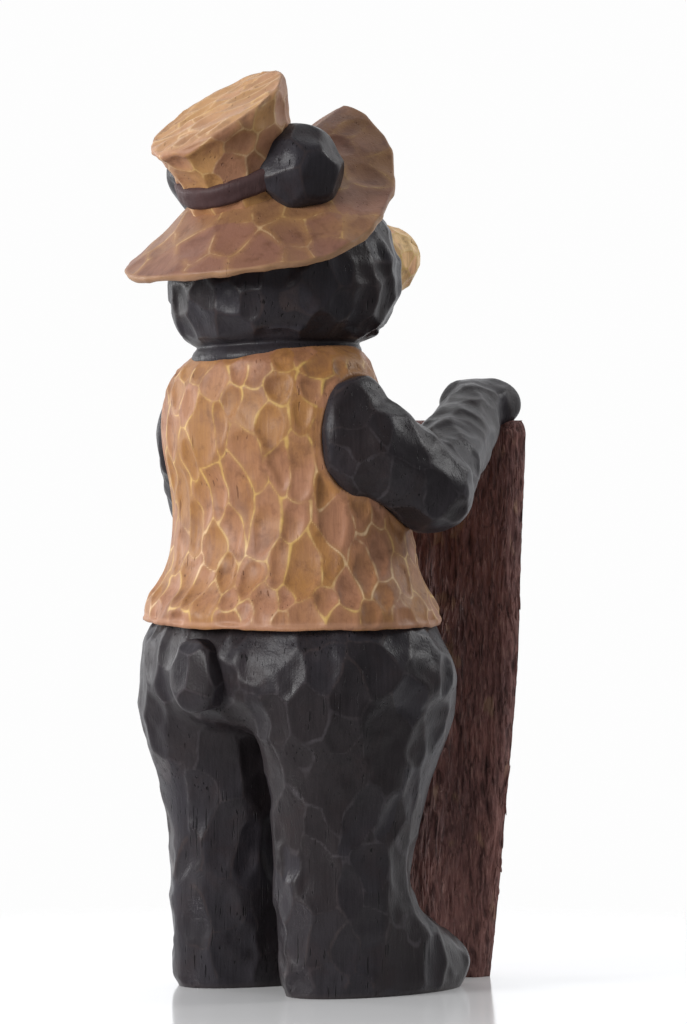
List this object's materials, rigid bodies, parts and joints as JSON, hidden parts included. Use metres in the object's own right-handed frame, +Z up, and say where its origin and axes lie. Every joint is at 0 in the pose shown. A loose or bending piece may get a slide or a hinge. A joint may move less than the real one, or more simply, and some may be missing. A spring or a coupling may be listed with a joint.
{
  "type": "standing bear statue",
  "caption": "Carved-look standing bear in a brimmed hat and a sleeveless vest, one paw resting on an upright bark-covered board.",
  "frame": {"origin": "on the floor, under the centre of the bounding box", "axes": "+Z up; the bear looks toward -Y; its right side is toward -X"},
  "size_m": [0.373, 0.45, 0.9173],
  "materials": {
    "bear": "painted cast resin: charcoal body, tan vest and hat, satin",
    "bark": "painted cast resin, rough bark relief, matt"
  },
  "bodies": {
    "root": {"bear": "bear", "bark_board": "bark"}
  },
  "joints": []
}
